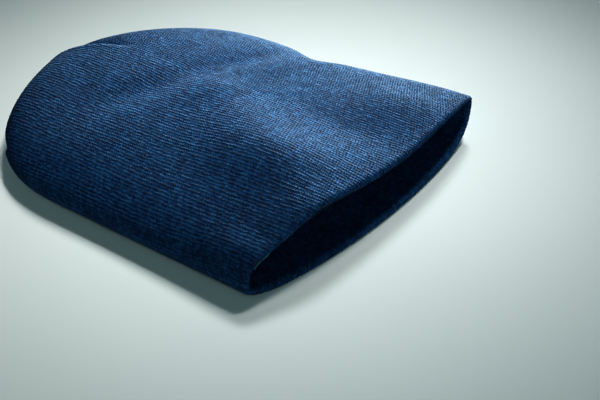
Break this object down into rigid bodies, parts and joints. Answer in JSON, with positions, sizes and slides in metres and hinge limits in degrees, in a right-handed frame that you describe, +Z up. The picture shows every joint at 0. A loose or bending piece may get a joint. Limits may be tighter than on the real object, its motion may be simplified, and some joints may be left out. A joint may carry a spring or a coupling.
{
  "type": "knit beanie",
  "caption": "Double-layer knit beanie without a cuff, lying flat with its mouth open; darted crown, turned-in hem, lining and a sewn-in blank label.",
  "frame": {"origin": "centre of the hat's outline on the surface it lies on, under the lower ply", "axes": "+X across the hat towards the raised corner of the mouth, +Y from the mouth to the crown, +Z up"},
  "size_m": [0.2191, 0.2674, 0.0427],
  "materials": {
    "outer_knit": "heathered blue acrylic stocking stitch, soft and matt with a light fuzz",
    "lining_knit": "dark navy knit, matt",
    "sewing_thread": "navy spun thread",
    "contrast_thread": "teal synthetic thread, slightly glossy",
    "label_tape": "black woven satin tape, blank"
  },
  "bodies": {
    "hat": {"outer_shell": "outer_knit", "lining": "lining_knit", "hem_linking_seam": "sewing_thread", "crown_dart_seam_1": "sewing_thread", "crown_dart_seam_2": "sewing_thread", "crown_dart_seam_3": "sewing_thread", "crown_dart_seam_4": "sewing_thread", "lining_dart_seam_1": "sewing_thread", "lining_dart_seam_2": "sewing_thread", "lining_dart_seam_3": "sewing_thread", "lining_dart_seam_4": "sewing_thread", "crown_tack": "sewing_thread", "label_stitches": "sewing_thread", "brim_thread": "contrast_thread"},
    "label": {"care_label": "label_tape"}
  },
  "joints": [
    {"name": "label_lift", "type": "hinge", "parent": "hat", "child": "label", "pos_m": [-0.01007, -0.10102, 0.00515], "axis": [1, 0, 0], "range_deg": [0, 60]}
  ]
}
